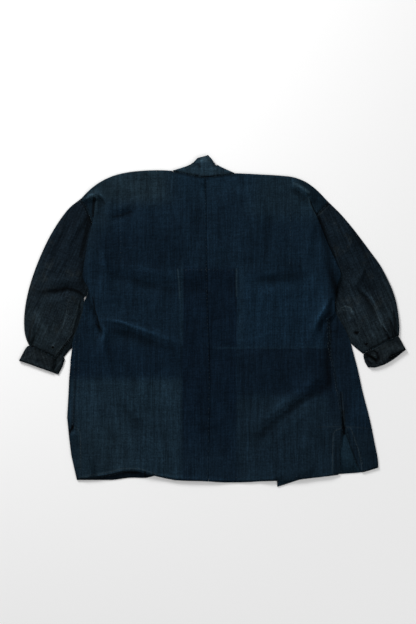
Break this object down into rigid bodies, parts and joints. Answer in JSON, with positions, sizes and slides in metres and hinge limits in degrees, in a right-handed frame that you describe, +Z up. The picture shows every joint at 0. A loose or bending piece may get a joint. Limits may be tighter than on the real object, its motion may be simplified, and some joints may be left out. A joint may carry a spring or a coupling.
{
  "type": "boro noragi jacket",
  "caption": "Indigo cotton work jacket laid flat, back up, with folded collar band, cuffed sleeves and side vents.",
  "frame": {"origin": "on the surface, under the middle of the laid-out jacket", "axes": "+X runs from cuff to cuff towards the right of the picture, +Y from hem to collar, +Z up from the surface it lies on"},
  "size_m": [0.9681, 0.83, 0.0101],
  "materials": {
    "body_indigo": "worn hand-woven indigo cotton",
    "band_indigo": "folded indigo cotton band",
    "sleeve_indigo": "faded grey-indigo cotton",
    "cuff_indigo": "faded grey-indigo cotton, two layers"
  },
  "bodies": {
    "root": {"body_left": "body_indigo", "body_right": "body_indigo", "collar_band": "band_indigo", "sleeve_left": "sleeve_indigo", "sleeve_right": "sleeve_indigo", "cuff_left": "cuff_indigo", "cuff_right": "cuff_indigo"}
  },
  "joints": []
}
